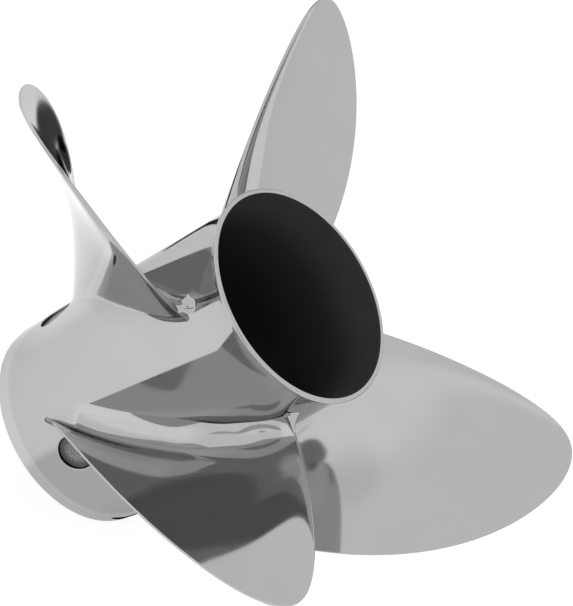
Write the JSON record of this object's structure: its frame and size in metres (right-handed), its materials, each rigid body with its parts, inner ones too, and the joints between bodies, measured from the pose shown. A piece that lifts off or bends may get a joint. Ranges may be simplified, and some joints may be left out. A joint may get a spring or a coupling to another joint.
{
  "type": "boat propeller",
  "caption": "Polished steel boat propeller with wide raked, cupped blades on a barrel that lets the exhaust out through the hub.",
  "frame": {"origin": "on the shaft axis, in the plane of the front rim that the propeller stands on", "axes": "+Z runs aft along the shaft axis, from the front rim to the exhaust outlet; seen from behind, +X is to the right and +Y is up; the first blade's tip lies at 79.2 degrees from +X towards +Y"},
  "size_m": [0.3812, 0.3812, 0.1787],
  "materials": {
    "polished_steel": "mirror-polished stainless steel",
    "brass": "machined",
    "black_rubber": "matt",
    "black_plastic": "moulded, satin, dusty",
    "black_coating": "thin black coat over the cast texture"
  },
  "bodies": {
    "root": {"barrel": "polished_steel", "blade_1": "polished_steel", "blade_2": "polished_steel", "blade_3": "polished_steel", "blade_4": "polished_steel", "bushing": "black_rubber", "inner_hub": "black_coating", "rib_1": "black_coating", "rib_2": "black_coating", "rib_3": "black_coating", "rib_4": "black_coating", "splined_core": "brass", "vent_plug_1": "black_plastic", "vent_plug_2": "black_plastic", "vent_plug_3": "black_plastic", "vent_plug_4": "black_plastic"}
  },
  "joints": []
}
